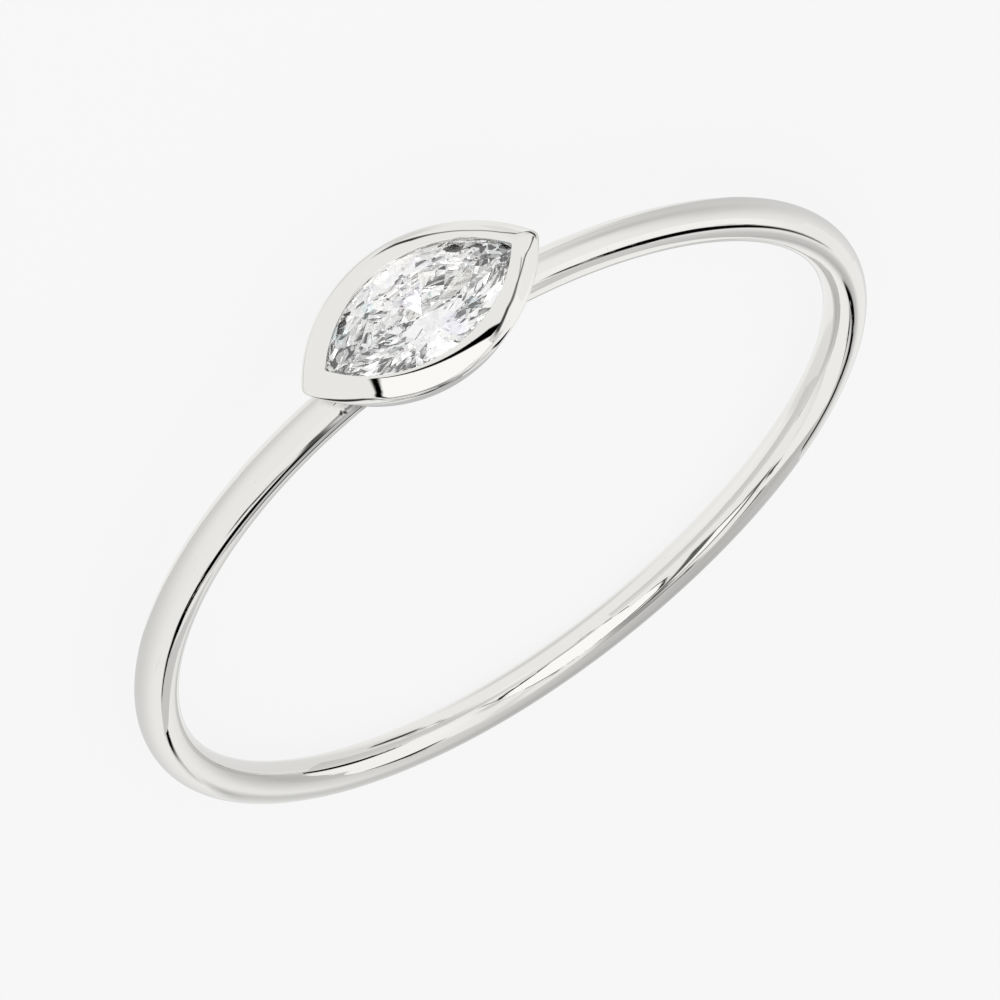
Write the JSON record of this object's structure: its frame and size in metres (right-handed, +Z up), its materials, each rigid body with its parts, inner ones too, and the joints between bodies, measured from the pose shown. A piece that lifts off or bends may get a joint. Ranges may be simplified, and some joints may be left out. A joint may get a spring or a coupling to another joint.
{
  "type": "marquise bezel ring",
  "caption": "Slim polished white-metal finger ring with a softly rounded band and a marquise-cut clear stone set along it in a low, smooth bezel.",
  "frame": {"origin": "centre of the finger hole, on the band's middle plane; the ring lies on its side, at rest on a table about 1.05 mm below the origin", "axes": "+Z up from the table, +Y towards the stone, +X along the stone and the bezel; the hole's axis leans 3.98 degrees from +Z towards -Y, because the ring rests on its bezel and on the far side of its band"},
  "size_m": [0.0184, 0.0195, 0.0035],
  "materials": {
    "white_gold": "polished white gold",
    "diamond": "polished facets, clear and colourless"
  },
  "bodies": {
    "root": {"band_and_bezel": "white_gold", "marquise_stone": "diamond"}
  },
  "joints": []
}
